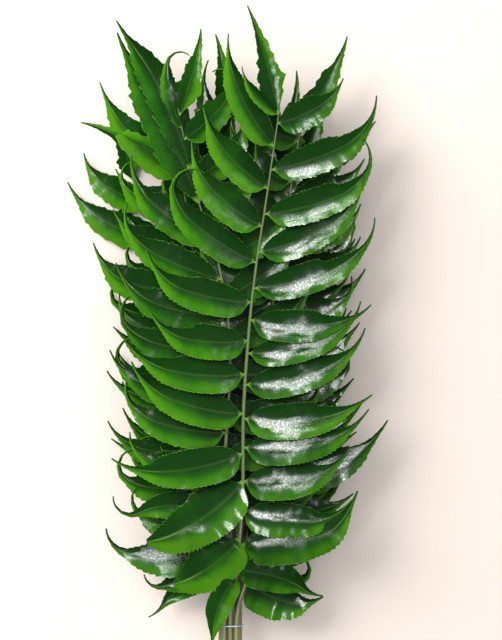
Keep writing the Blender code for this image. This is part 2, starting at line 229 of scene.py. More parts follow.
# The cord's steps round the stems and its sides, the ring that it is drawn tight from, and its faded colour.
CORD_STEPS, CORD_SIDES = 72, 10
CORD_RING = 12.0
CORD_SHARP_EDGE = 60
WORN_CORD = (0.20, 0.28, 0.38)

# The stage, in metres: the floor lies just under the bunch, and the camera sees VIEW_HEIGHT of it from top to
# bottom round VIEW_MIDDLE. SENSOR is the long side of the camera's frame, in millimetres.
FLOOR_SIZE = 8
FLOOR_DROP = 0.0005
ROOM_TINT = (0.97, 0.975, 0.985, 1.0)
VIEW_MIDDLE = (0.0223, 0.0218, 0.045)
VIEW_HEIGHT = 0.5568
SENSOR = 36.0


class FernLeaves(PropertyGroup):
    blade: FloatProperty(
        name="Blade thickness", description="Thickness of a leaflet's blade",
        default=0.5 * MM, min=0.2 * MM, max=1.0 * MM, unit="LENGTH", precision=5)
    wave: FloatProperty(
        name="Wave height", description="How far a leaflet's margins rise and fall",
        default=0.9 * MM, min=0.0, max=4.0 * MM, unit="LENGTH", precision=5)
    ruffle: FloatProperty(
        name="Ruffle height", description="Height of the short ruffles along the margins",
        default=0.35 * MM, min=0.0, max=1.5 * MM, unit="LENGTH", precision=5)
    arch: FloatProperty(
        name="Arch", description="How far the middle of a front leaflet stands over its margins",
        default=1.5 * MM, min=0.0, max=4.0 * MM, unit="LENGTH", precision=5)
    front_tilt: FloatProperty(
        name="Tilt in front", description="How far a front leaflet's lower margin is turned up",
        default=math.radians(12), min=0.0, max=math.radians(40), subtype="ANGLE")
    rear_tilt: FloatProperty(
        name="Tilt behind", description="How far the lower margin of a leaflet behind is turned up",
        default=math.radians(9), min=0.0, max=math.radians(40), subtype="ANGLE")
    deep: FloatVectorProperty(
        name="Deep green", description="Green of the shaded side and of older leaflets",
        default=(0.003, 0.030, 0.002), min=0.0, max=1.0, subtype="COLOR", size=3)
    fresh: FloatVectorProperty(
        name="Fresh green", description="Green of most of the upper side",
        default=(0.011, 0.096, 0.001), min=0.0, max=1.0, subtype="COLOR", size=3)
    # The young green also paints the light on the lower halves of the leaflets.
    young: FloatVectorProperty(
        name="Young green", description="Yellow green of the youngest parts",
        default=(0.055, 0.205, 0.003), min=0.0, max=1.0, subtype="COLOR", size=3)
    # The margin green is also laid in flecks along the margins as painted glints.
    edge: FloatVectorProperty(
        name="Margin", description="Pale green of the thin margin and the stalk",
        default=(0.16, 0.32, 0.05), min=0.0, max=1.0, subtype="COLOR", size=3)


class FernStems(PropertyGroup):
    rib: FloatVectorProperty(
        name="Rib green", description="Olive green of the ribs between the leaflets",
        default=(0.075, 0.125, 0.022), min=0.0, max=1.0, subtype="COLOR", size=3)
    stem: FloatVectorProperty(
        name="Stem khaki", description="Khaki of the bare stems",
        default=(0.190, 0.190, 0.055), min=0.0, max=1.0, subtype="COLOR", size=3)
    streak: FloatVectorProperty(
        name="Stem brown", description="Brown of the streaks and scales on the stems",
        default=(0.075, 0.050, 0.018), min=0.0, max=1.0, subtype="COLOR", size=3)
    slim: FloatProperty(
        name="Slimness",
        description="Thickness of the ribs between the leaflets, as a share of the plain model's",
        default=0.72, min=0.5, max=1.0, subtype="FACTOR")
    groove: FloatProperty(
        name="Groove",
        description="Depth of the groove on the upper side of a stem, as a share of its radius",
        default=0.3, min=0.0, max=0.6, subtype="FACTOR")
    cord: FloatVectorProperty(
        name="Tie", description="Colour of the cord round the stems",
        default=(0.45, 0.58, 0.72), min=0.0, max=1.0, subtype="COLOR", size=3)
    cord_radius: FloatProperty(
        name="Tie radius", description="Half the thickness of the cord",
        default=0.6 * MM, min=0.3 * MM, max=1.5 * MM, unit="LENGTH", precision=5)


class FernStage(PropertyGroup):
    floor: FloatVectorProperty(
        name="Floor", description="Colour of the plain floor",
        default=(0.82, 0.725, 0.665), min=0.0, max=1.0, subtype="COLOR", size=3)
    key: FloatProperty(
        name="Left light", description="Power of the soft light on the left",
        default=52.0, min=0.0, unit="POWER")
    sheen: FloatProperty(
        name="Sheen light", description="Power of the soft light that gives the leaflets their sheen",
        default=16.5, min=0.0, unit="POWER")
    low_sheen: FloatProperty(
        name="Low sheen light",
        description="Power of the soft light that gives the lowest leaflets their sheen",
        default=13.0, min=0.0, unit="POWER")
    sky: FloatProperty(
        name="Room light", description="Strength of the even light from all round",
        default=0.86, min=0.0)
    lens: FloatProperty(
        name="Lens", description="Focal length of the camera, in millimetres",
        default=100.0, min=20.0, max=300.0)


class Wire:
    """An output of a shader node. Arithmetic on it adds Math nodes."""

    def __init__(self, look, socket):
        self.look = look
        self.socket = socket

    def _math(self, operation, first, second):
        return self.look.node("ShaderNodeMath", {"operation": operation}, {0: first, 1: second})

    def __add__(self, other):
        return self._math("ADD", self, other)

    def __radd__(self, other):
        return self._math("ADD", other, self)

    def __sub__(self, other):
        return self._math("SUBTRACT", self, other)

    def __rsub__(self, other):
        return self._math("SUBTRACT", other, self)

    def __mul__(self, other):
        return self._math("MULTIPLY", self, other)

    def __rmul__(self, other):
        return self._math("MULTIPLY", other, self)

    def __abs__(self):
        return self._math("ABSOLUTE", self, 0.0)


class Look:
    """A material under construction. Each of its nodes comes from node()."""

    def __init__(self, name):
        self.material = bpy.data.materials.new(name)
        self.material.use_nodes = True
        self.shader = self.material.node_tree.nodes["Principled BSDF"]

    def node(self, kind, settings=None, inputs=None, output=0):
        made = self.material.node_tree.nodes.new(kind)
        for name, value in (settings or {}).items():
            setattr(made, name, value)
        for place, value in (inputs or {}).items():
            self.feed(made.inputs[place], value)
        return Wire(self, made.outputs[output])

    def feed(self, socket, value):
        if isinstance(value, Wire):
            self.material.node_tree.links.new(value.socket, socket)
        elif socket.type == "RGBA":
            socket.default_value = (*value[:3], 1.0)
        else:
            socket.default_value = value

    def set(self, **values):
        """Feeds the shader's own sockets: Base_Color stands for the socket Base Color."""
        for name, value in values.items():
            self.feed(self.shader.inputs[name.replace("_", " ")], value)

    def places(self, stretch=(1.0, 1.0, 1.0)):
        """Object coordinates in metres, stretched along the axes."""
        coordinates = self.node("ShaderNodeTexCoord", output="Object")
        return self.node("ShaderNodeMapping", {}, {"Vector": coordinates, "Scale": stretch})

    def noise(self, places, scale, detail=2.0, roughness=0.5):
        values = {"Vector": places, "Scale": scale, "Detail": detail, "Roughness": roughness}
        return self.node("ShaderNodeTexNoise", {}, values)

    def ramp(self, value, start, end, low=0.0, high=1.0):
        """low up to start, high past end, and a smooth step between."""
        values = {"Value": value, "From Min": start, "From Max": end, "To Min": low, "To Max": high}
        return self.node("ShaderNodeMapRange", {"interpolation_type": "SMOOTHSTEP"}, values)

    def blend(self, share, first, second):
        """A colour between two colours."""
        return self.node("ShaderNodeMix", {"data_type": "RGBA"}, {0: share, 6: first, 7: second}, 2)

    def bump(self, height, distance, strength=1.0):
        values = {"Height": height, "Distance": distance, "Strength": strength}
        return self.node("ShaderNodeBump", {}, values)


def leaf_look(name, leaves, film_start, film_end):
    """Leaf under a film of water: greens that vary over the blade, with painted light on its lower half and
    painted shade on its upper half and towards its root, fine veins, a pale margin flecked with painted
    glints, and beads.
    """
    look = Look(name)
    around = look.places()
    own = look.node("ShaderNodeUVMap", {"uv_map": "UVMap"})
    along = look.node("ShaderNodeSeparateXYZ", {}, {0: own}, 0)
    across = look.node("ShaderNodeSeparateXYZ", {}, {0: own}, 1)
    tone = look.node("ShaderNodeAttribute", {"attribute_name": "young"}, output="Fac")
    wet = look.node("ShaderNodeAttribute", {"attribute_name": "wet"}, output="Fac")
    from_rib = abs(across - 0.5) * 2.0

    clouds = look.noise(around, 34.0, 3.0)
    blotches = look.noise(around, 120.0, 2.0)
    # Painted light and shade: the lower half of each leaflet is painted lighter and yellower, and the upper
    # half, tucked under the leaflet above, is painted darker.
    lower = look.ramp(across, 0.08, 0.66, 1.0, 0.0)
    # Painted shade: the blade is painted darker towards its root, where it lies in the shade by the rib.
    past_root_shade = look.ramp(along, 0.0, 0.5)
    freshness_and_light = tone * 0.6 + lower * 0.80 + past_root_shade * 0.30 + clouds * 0.8 - 0.95
    towards_tip = look.ramp(along, 0.35, 0.9)
    youth_and_light = tone * 0.7 + lower * 0.80 + towards_tip * 0.3 + blotches * 0.3 + clouds * 0.5 - 1.15
    green = look.blend(look.ramp(freshness_and_light, 0.0, 0.8), leaves.deep, leaves.fresh)
    green = look.blend(look.ramp(youth_and_light, 0.05, 0.75), green, leaves.young)

    bent = along * 30.0 - from_rib * 3.2 + blotches * 0.8
    stripe = abs(look.node("ShaderNodeMath", {"operation": "FRACT"}, {0: bent}) - 0.5) * 2.0
    vein = look.ramp(stripe, 0.80, 1.0) * look.ramp(from_rib, 0.97, 0.7)
    midrib = look.ramp(from_rib, 0.09, 0.03) * (look.ramp(along, 0.55, 0.9) * 0.5 + 0.08)
    margin = look.ramp(from_rib, 0.955, 0.985)
    stalk = look.ramp(along, 0.05, 0.02)
    green = look.blend(vein * 0.12, green, leaves.young)
    green = look.blend(midrib, green, leaves.edge)
    beads = look.noise(around, 620.0, 2.0, 0.6)
    drops_and_glints = look.ramp(beads, 0.46, 0.62)
    # A pale margin, partly the leaflet's own pale edge and partly painted glints, in flecks where the beads
    # pattern is high.
    green = look.blend(margin * (drops_and_glints * 0.6 + 0.12), green, leaves.edge)
    green = look.blend(stalk * 0.7, green, leaves.edge)

    spray = look.ramp(look.noise(around, 90.0, 2.0), 0.40, 0.62)
    streaks = look.node("ShaderNodeCombineXYZ", {}, {0: along * 4.5, 1: across * 4.0, 2: tone * 60.0})
    patches = look.ramp(look.noise(streaks, 1.0, 3.0), 0.32, 0.58)
    film = look.ramp(along, *film_start) * look.ramp(along, *film_end, 1.0, 0.0)
    film = film * look.ramp(across, 1.0, 0.48)
    water = wet * film * patches * (drops_and_glints * 0.52 + 0.44) + wet * spray * drops_and_glints * 0.06
    height = drops_and_glints * spray * 0.8 + beads * 0.35 + vein * 0.12 - midrib * 0.9 + blotches * 0.8
    look.set(
        Base_Color=green, Roughness=0.50 + blotches * 0.1, Coat_Weight=water,
        Normal=look.bump(height, 0.13 * MM, 0.7), IOR=1.5, Specular_IOR_Level=0.03, Coat_Roughness=0.17)
    return look.material


def stem_look(name, stems):
    """Olive rib and khaki stem, streaked lengthways and flecked with brown scales low down."""
    look = Look(name)
    around = look.places()
    up = look.node("ShaderNodeSeparateXYZ", {}, {0: around}, 1)
    streaks = look.noise(look.places((1.0, 0.06, 1.0)), 900.0, 3.0)
    flecks = look.noise(look.places((1.0, 0.35, 1.0)), 1300.0, 2.0)
    bare = look.ramp(up, -0.150, -0.225)
    colour = look.blend(bare, stems.rib, stems.stem)
    colour = look.blend(look.ramp(streaks, 0.45, 0.75) * 0.55, colour, stems.streak)
    colour = look.blend(look.ramp(flecks, 0.62, 0.70) * (bare * 0.5 + 0.2), colour, stems.streak)
    height = streaks * 0.8 + flecks * 0.4
    look.set(Base_Color=colour, Roughness=0.42 + streaks * 0.15, Normal=look.bump(height, 0.15 * MM, 0.7))
    return look.material


def cord_look(name, stems):
    """Smooth pale cord with a slight lay of its strands."""
    look = Look(name)
    around = look.places()
    strands = look.noise(look.places((1.0, 1.0, 0.4)), 1500.0, 2.0)
    worn = look.noise(around, 300.0, 2.0)
    colour = look.blend(look.ramp(worn, 0.35, 0.75) * 0.4, stems.cord, WORN_CORD)
    look.set(Base_Color=colour, Roughness=0.32 + worn * 0.2, Normal=look.bump(strands, 0.08 * MM, 0.6))
    return look.material


def floor_look(name, stage):
    """Plain matt floor with a barely visible grain."""
    look = Look(name)
    grain = look.noise(look.places(), 160.0, 3.0)
    pale = look.blend(grain * 0.05, stage.floor, tuple(0.9 * part for part in stage.floor))
    look.set(
        Base_Color=pale, Roughness=0.85, Normal=look.bump(grain, 0.2 * MM, 0.25), Specular_IOR_Level=0.15)
    return look.material


def placed(point):
    """A point of the layout, moved to its place in the row frame, in metres."""
    return (Vector(point) + BUNCH_AT) * MM


def ease(share):
    """0 to 1 with a level start and end."""
    share = min(max(share, 0.0), 1.0)
    return share * share * (3 - 2 * share)


def mix(start, end, share):
    """start to end as the share goes from 0 to 1."""
    return start + (end - start) * share


def way_across(points, y):
    """x at this y on a smooth curve through (y, x) points, straight on past the last one."""
    last = len(points) - 2
    index = max(i for i in range(last + 1) if i == 0 or points[i][0] <= y)
    (y0, x0), (y1, x1) = points[index], points[index + 1]

    def slope(i):
        before, after = points[max(i - 1, 0)], points[min(i + 1, last + 1)]
        return (after[1] - before[1]) / (after[0] - before[0])

    if y < y0:
        return x0
    if y > y1:
        return x1 + slope(index + 1) * (y - y1)
    t, span = (y - y0) / (y1 - y0), y1 - y0
    start = (1 + 2 * t) * (1 - t) ** 2 * x0 + t * (1 - t) ** 2 * span * slope(index)
    end = t * t * (3 - 2 * t) * x1 + t * t * (t - 1) * span * slope(index + 1)
    return start + end


class Layer:
    """One frond's place: its rib from the tied stems to its tip, and the surface its leaflets lie in."""

    def __init__(self, number, place, way, front=False):
        row, slot = place
        self.slot_x = slot * STEM_PITCH
        self.bundle_z = BUNDLE_HEIGHT + (row - 1) * ROW_RISE
        self.layer_z = LOWEST_RIB + number * LAYER_PITCH + (FRONT_RISE if front else 0.0)
        self.sag = number * SAG_PER_LAYER
        self.spread_end = FRONT_SPREAD_END if front else SPREAD_END
        self.way = way
        self.top = way[-1][0]

    def spread(self, y):
        return ease((y - SPREAD_START) / (self.spread_end - SPREAD_START))

    def surface(self, x, y):
        level = mix(self.bundle_z, self.layer_z, self.spread(y))
        beyond = max(y - BEND_START, 0) / BEND_LENGTH
        level += (TIP_RISE - TIP_SAG * self.sag) * beyond**2
        return level - self.sag * (x / SAG_AT) ** 2 * self.spread(y)

    def rib_x(self, y):
        return mix(self.slot_x, way_across(self.way, y), ease((y + 5) / 50))

    def rib_radius(self, y):
        if y < TAPER_START:
            return mix(STEM_RADIUS, RIB_RADIUS, ease(y / 90))
        return mix(RIB_RADIUS, RIB_TIP_RADIUS, (y - TAPER_START) / (self.top - TAPER_START))

    def rib_point(self, y):
        x = self.rib_x(y)
        drop = RIB_DROP * self.rib_radius(y) * self.spread(y)
        return Vector((x, y, self.surface(x, y) - drop))

    def rib_way(self, y):
        """The rib's direction seen from above."""
        return Vector((self.rib_x(y + 1) - self.rib_x(y - 1), 2.0)).normalized()


class Leaflet:
    """One leaflet's place and form. What isn't given is drawn at random, in a fixed order."""

    def __init__(self, layer, root_y, tip, width, side, draw, tilt, outline, bow, hook, roll, young, ragged,
                 wet=0.3, waved=1.0, lift=0.0, arch=1.0, rise=0.0):
        self.layer = layer
        self.root = Vector((layer.rib_x(root_y), root_y))
        self.tip = Vector(tip)
        self.width, self.side, self.tilt = width, side, tilt
        self.outline, self.bow, self.hook = outline, bow, hook
        self.young, self.wet, self.ragged = young, wet, ragged
        self.lift, self.arch, self.rise = lift, arch, rise
        self.step_at, self.step = draw.uniform(0.45, 0.68), draw.uniform(0.02, 0.32)
        self.curl = draw.uniform(0.0, 3.0)
        self.roll = roll or draw.uniform(0.1, 0.6)
        self.twist = draw.uniform(-0.10, 0.10)
        self.waves = [
            (draw.uniform(1.6, 3.2), draw.uniform(0, 1), draw.uniform(6.5, 9.5), draw.uniform(0, 1),
             draw.uniform(0.5, 1.2) * waved)
            for _ in (0, 1)
        ]
        self.notches = 8 + 4 * self.waves[0][1]

    def middle(self, share):
        """A point on the middle line, seen from above, with the tail rolled in towards the frond's tip."""
        if share <= CURL_START:
            return self.line(share)
        start = self.line(CURL_START)
        ahead = (start - self.line(CURL_START - 0.01)).normalized()
        inward = Vector((-ahead.y, ahead.x)) * self.side
        radius = (1 - CURL_START) * (self.tip - self.root).length * (1 / self.roll + 0.35)
        turned = self.roll * (share - CURL_START) / (1 - CURL_START)
        return start + (ahead * math.sin(turned) + inward * (1 - math.cos(turned))) * radius

    def line(self, share):
        """The middle line without its rolled tail."""
        chord = self.tip - self.root
        up = Vector((-chord.y, chord.x)).normalized() * self.side
        bowed = 4 * self.bow * chord.length * share * (1 - share)
        hooked = self.hook * (max(share - HOOK_START, 0) / (1 - HOOK_START)) ** 2
        return self.root + (chord - up * self.hook) * share + up * (hooked - bowed)

    def upward(self, share):
        """The direction of the upper margin at this place on the middle line."""
        along = (self.middle(share + 0.01) - self.middle(share - 0.01)).normalized()
        return Vector((-along.y, along.x)) * self.side

    def half_width(self, share, upper):
        """From the middle line to the margin, with its notches and the step that narrows the upper side."""
        curve = tuple((part, high if upper else low) for part, low, high in self.outline)
        wide = max(way_across(curve, share), 0.02) * self.width / 2
        notch = (share * self.notches + 0.4 * upper) % 1.0 - 0.5
        wide *= 1 + self.ragged * notch * ease((share - 0.08) / 0.1) * ease((0.95 - share) / 0.1)
        if upper:
            wide *= 1 - self.step * ease((share - self.step_at) / 0.05)
        return wide

    def margin_height(self, share, upper, leaves):
        """How far the margin stands off the blade's plain surface here."""
        long, long_at, short, short_at, height = self.waves[upper]
        free = ease(share / 0.15) * ease((1 - share) / 0.15)
        waved = math.sin(2 * math.pi * (long * share + long_at)) * leaves.wave / MM
        ruffled = math.sin(2 * math.pi * (short * share + short_at)) * leaves.ruffle / MM
        return (waved + ruffled) * free * height

    def point(self, share, across, leaves):
        """Where a point of the blank goes: share is along it, and across is -1 to 1 from its lower margin."""
        share = min(max(share, 0.0), 1.0)
        upper = across > 0
        reach = across * self.half_width(share, upper)
        spot = self.middle(share) + self.upward(share) * reach
        open_out = ease(share / 0.12)
        turned = math.sin(self.tilt + self.twist * share)
        height = self.layer.surface(spot.x, spot.y) + self.lift * share**2 + self.rise * open_out
        height += self.curl * max(share - RISING_TIP, 0) ** 2 / (1 - RISING_TIP) ** 2
        height -= (reach * turned + self.arch * (across**2 - 0.4)) * open_out
        height += self.margin_height(share, upper, leaves) * across**2
        return placed((spot.x, spot.y, max(height, leaves.blade / MM)))


def select_where(thing, wanted):
    """In edit mode, selects the vertices whose place passes the test, and nothing else."""
    shape = bmesh.from_edit_mesh(thing.data)
    for vert in shape.verts:
        vert.select = bool(wanted(vert.co))
    shape.select_flush_mode()
    bmesh.update_edit_mesh(thing.data)


def cut_blank(name, columns, rows):
    """A flat leaflet blank from a grid, 0 to 1 along X and -1 to 1 along Y, with teeth on both long edges."""
    bpy.ops.mesh.primitive_grid_add(x_subdivisions=columns, y_subdivisions=rows, size=1, location=(0, 0, 0))
    blank = bpy.context.object
    blank.name = name
    bpy.ops.object.mode_set(mode="EDIT")
    bpy.ops.mesh.select_mode(type="VERT")
    bpy.ops.mesh.select_all(action="SELECT")
    bpy.ops.transform.resize(value=(1, 2, 1), center_override=(0, 0, 0))
    bpy.ops.transform.translate(value=(0.5, 0, 0))
    for start, end, depth in TEETH:
        select_where(
            blank, lambda co: abs(co.y) > 0.99 and start <= co.x < end and round(co.x * columns) % 2 == 1)
        bpy.ops.transform.resize(value=(1, depth, 1), center_override=(0, 0, 0))
        bpy.ops.transform.translate(value=(0.6 / columns, 0, 0))
    bpy.ops.object.mode_set(mode="OBJECT")
    return blank


def lay_leaflet(blank, leaflet, leaves):
    """A copy of the blank, laid out to the leaflet's own form and place."""
    mesh = blank.data.copy()
    for vert in mesh.vertices:
        vert.co = leaflet.point(vert.co.x, vert.co.y, leaves)
    if leaflet.side < 0:
        mesh.flip_normals()
    for name, amount in (("young", leaflet.young), ("wet", leaflet.wet)):
        mesh.attributes.new(name, "FLOAT", "POINT").data.foreach_set("value", [amount] * len(mesh.vertices))
    blade = bpy.data.objects.new("blade", mesh)
    bpy.context.scene.collection.objects.link(blade)
    return blade


def only(things):
    """Selects these objects alone, with the first one active."""
    bpy.ops.object.select_all(action="DESELECT")
    for thing in things:
        thing.select_set(True)
    bpy.context.view_layer.objects.active = things[0]


def join_blades(name, blades, leaves, material):
    """One piece from a frond's leaflets, given the blade's thickness."""
    only(blades)
    bpy.ops.object.join()
    piece = bpy.context.object
    piece.name = piece.data.name = name
    wall = piece.modifiers.new("thickness", "SOLIDIFY")
    wall.thickness = leaves.blade
    wall.offset = 0
    bpy.ops.object.modifier_apply(modifier=wall.name)
    return finish_piece(piece, material, SHARP_EDGE)


def draw_out(name, points, radii, groove, material):
    """A stem drawn out ring by ring from a circle at its cut end, with a groove along its upper side."""
    bpy.ops.object.select_all(action="DESELECT")
    start = placed(points[0])
    bpy.ops.mesh.primitive_circle_add(
        vertices=STEM_SIDES, radius=radii[0] * MM, fill_type="NGON", location=start,
        rotation=(math.pi / 2, 0, 0))
    piece = bpy.context.object
    bpy.ops.object.transform_apply(location=True, rotation=True, scale=True)
    piece.name = piece.data.name = name
    bpy.ops.object.mode_set(mode="EDIT")
    bpy.ops.mesh.select_mode(type="VERT")
    select_where(piece, lambda co: co.z > start.z + 0.98 * radii[0] * MM)
    bpy.ops.transform.translate(value=(0, 0, -groove * radii[0] * MM))
    bpy.ops.mesh.select_all(action="SELECT")
    for index in range(1, len(points)):
        step = placed(points[index]) - placed(points[index - 1])
        bpy.ops.mesh.extrude_region_move(TRANSFORM_OT_translate={"value": step})
        thinner = radii[index] / radii[index - 1]
        bpy.ops.transform.resize(value=(thinner, 1, thinner), center_override=placed(points[index]))
    bpy.ops.mesh.select_all(action="SELECT")
    bpy.ops.mesh.normals_make_consistent(inside=False)
    bpy.ops.object.mode_set(mode="OBJECT")
    return finish_piece(piece, material, SHARP_EDGE)


def finish_piece(piece, material, sharp):
    """Smooth faces, apart from edges sharper than this many degrees, and the material."""
    only([piece])
    bpy.ops.object.shade_smooth_by_angle(angle=math.radians(sharp))
    piece.data.materials.clear()
    piece.data.materials.append(material)
    return piece


def hang_on(piece, node):
    """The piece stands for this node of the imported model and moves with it."""
    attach(piece, "root")
    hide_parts(node)


def rib_heights(layer, stem_end):
    """Where a stem's rings lie, from its cut end through the tie to its tip."""
    bare = [stem_end - i * stem_end / BARE_STEPS for i in range(BARE_STEPS)]
    steps = round(layer.top / RIB_STEP)
    return bare + [i * layer.top / steps for i in range(steps + 1)]


def make_rib(name, node, layer, stem_end, stems, material):
    """A frond's stem and rib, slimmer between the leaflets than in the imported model."""
    heights = rib_heights(layer, stem_end)
    points = [layer.rib_point(y) for y in heights]
    radii = [layer.rib_radius(y) * mix(1, stems.slim, ease(y / 120)) for y in heights]
    hang_on(draw_out(name, points, radii, stems.groove, material), node)


def habit(key, roll, wet):
    """A leaflet's cut, rolled tail, wetness and waves, from the tables where they name it, or as drawn."""
    return {
        "outline": CUTS.get(key, SIDE_OUTLINE),
        "roll": math.radians(ROLLED_IN.get(key, roll)),
        "wet": WET.get(key, wet),
        "waved": WAVED.get(key, 1.0),
    }


def rear_leaflets(number, layer, starts, draw, leaves):
    """Leaflets of a frond behind, by the rule, or from the table where it names one near that place."""
    own = random.Random(100 + number)
    leaflets = []
    for side, start in ((-1, starts[0]), (1, starts[1])):
        y = start
        while y < layer.top - END_BARE:
            height = (y - SLANT_START) / (layer.top - SLANT_START)
            length = LEAFLET_LENGTH * (1 - TOP_SHORTENED * height**2) * draw.uniform(0.92, 1.06)
            length *= mix(LOWEST_LENGTH, 1, ease((y - LOWEST_Y) / (FULL_LENGTH_Y - LOWEST_Y)))
            angle = math.radians(mix(LOWEST_SLANT, TOP_SLANT, height) + draw.uniform(-5, 5))
            along = layer.rib_way(y)
            outward = Vector((along.y, -along.x)) * side
            root = Vector((layer.rib_x(y), y))
            tip = root + (outward * math.cos(angle) + along * math.sin(angle)) * length
            width = LEAFLET_WIDTH * mix(1, TOP_WIDTH, height) * draw.uniform(0.94, 1.06)
            bow, hook, lift = draw.uniform(0.05, 0.11), draw.uniform(2, 16), draw.uniform(-2.0, 2.0)
            root_y = y
            for at_side, at_y, tip_x, tip_y, wide, own_hook, *own_bow in STANDING_OUT.get(number + 1, ()):
                if at_side == side and abs(at_y - y) < LEAFLET_STEP / 2:
                    root_y, tip, width, hook = at_y, (tip_x, tip_y), wide, own_hook
                    bow = own_bow[0] if own_bow else math.copysign(bow, hook)
            rolled = max(own.uniform(-250, 150), 0)
            young = own.uniform(0.1, 0.6) + 0.28 * ease((height - 0.45) / 0.4)
            form = habit((number + 1, side, root_y), rolled, own.uniform(0.1, 1.0))
            if form["outline"] == BROAD_OUTLINE:
                young *= 0.15
            leaflets.append(Leaflet(
                layer, root_y, tip, width, side, own, leaves.rear_tilt, bow=bow, hook=hook, lift=lift,
                young=young, ragged=mix(LOWEST_RAGGED, TOP_RAGGED, height), **form))
            y += LEAFLET_STEP * draw.uniform(0.94, 1.04)
    return leaflets


def front_leaflets(layer, leaves):
    """The front frond's leaflets: younger greens on the left, and more water on the right."""
    own = random.Random(90)
    leaflets = []
    for side, table in ((1, FRONT_RIGHT), (-1, FRONT_LEFT)):
        for root_y, tip_x, tip_y, width, hook in table:
            young = own.uniform(0.40, 0.75) if side < 0 else own.uniform(0.25, 0.55)
            if side < 0 and root_y < PALE_BELOW:
                young += 0.35
            wet = own.uniform(0.0, 0.14) if side < 0 else own.uniform(0.85, 1.1)
            form = habit((len(FRONDS) + 1, side, root_y), 0, wet)
            leaflets.append(Leaflet(
                layer, root_y, (tip_x, tip_y), width, side, own, leaves.front_tilt,
                bow=math.copysign(FRONT_BOW, hook), hook=hook, young=young,
                ragged=mix(*FRONT_RAGGED, ease((root_y - RAGGED_FROM) / RAGGED_RUN)), arch=leaves.arch / MM,
                rise=FRONT_LIFT * (1 - layer.spread(root_y)), **form))
    return leaflets


def end_leaflet(layer, end, own, leaves, **form):
    """The lobed leaflet at a rib's tip, in line with it."""
    tip_x, tip_y, width = end
    return Leaflet(
        layer, layer.top - 6, (tip_x, tip_y), width, 1, own, leaves.rear_tilt,
        outline=END_OUTLINE, bow=0.02, hook=0.0, ragged=0.28, **form)


class FERN_OT_rear_fronds(Operator):
    """Make the fronds behind, each with its rib and stem"""

    bl_idname = "fern.rear_fronds"
    bl_label = "Fronds behind"

    def execute(self, context):
        leaves, stems = context.scene.fern_leaves, context.scene.fern_stems
        blank = cut_blank("rear_blank", *REAR_BLANK)
        leaf = leaf_look("fern_leaf_behind", leaves, *REAR_FILM)
        stem = stem_look("fern_stem_behind", stems)
        for number, (place, way, starts, end) in enumerate(FRONDS):
            draw = random.Random(SEED + number)
            layer = Layer(number, place, way)
            node = f"frond_{number + 1}"
            make_rib(f"{node}_rib", node, layer, STEM_END + draw.uniform(0, 8), stems, stem)
            leaflets = rear_leaflets(number, layer, starts, draw, leaves)
            leaflets.append(end_leaflet(layer, end, random.Random(number), leaves, young=0.75, roll=0.2))
            blades = [lay_leaflet(blank, leaflet, leaves) for leaflet in leaflets]
            hang_on(join_blades(f"{node}_blades", blades, leaves, leaf), node)
        bpy.data.objects.remove(blank)
        return {"FINISHED"}


class FERN_OT_front_frond(Operator):
    """Make the frond in front, with its rib and stem"""

    bl_idname = "fern.front_frond"
    bl_label = "Front frond"

    def execute(self, context):
        leaves, stems = context.scene.fern_leaves, context.scene.fern_stems
        number = len(FRONDS)
        node = f"frond_{number + 1}"
        layer = Layer(number, FRONT_PLACE, FRONT_RIB, front=True)
        make_rib(f"{node}_rib", node, layer, STEM_END, stems, stem_look("fern_stem", stems))
        leaflets = front_leaflets(layer, leaves)
        leaflets.append(end_leaflet(
            layer, FRONT_TIP, random.Random(number), leaves, young=0.6, arch=1.2, roll=0.1, wet=0.5))
        blank = cut_blank("front_blank", *FRONT_BLANK)
        blades = [lay_leaflet(blank, leaflet, leaves) for leaflet in leaflets]
        bpy.data.objects.remove(blank)
        leaf = leaf_look("fern_leaf", leaves, *FRONT_FILM)
        hang_on(join_blades(f"{node}_blades", blades, leaves, leaf), node)
        return {"FINISHED"}


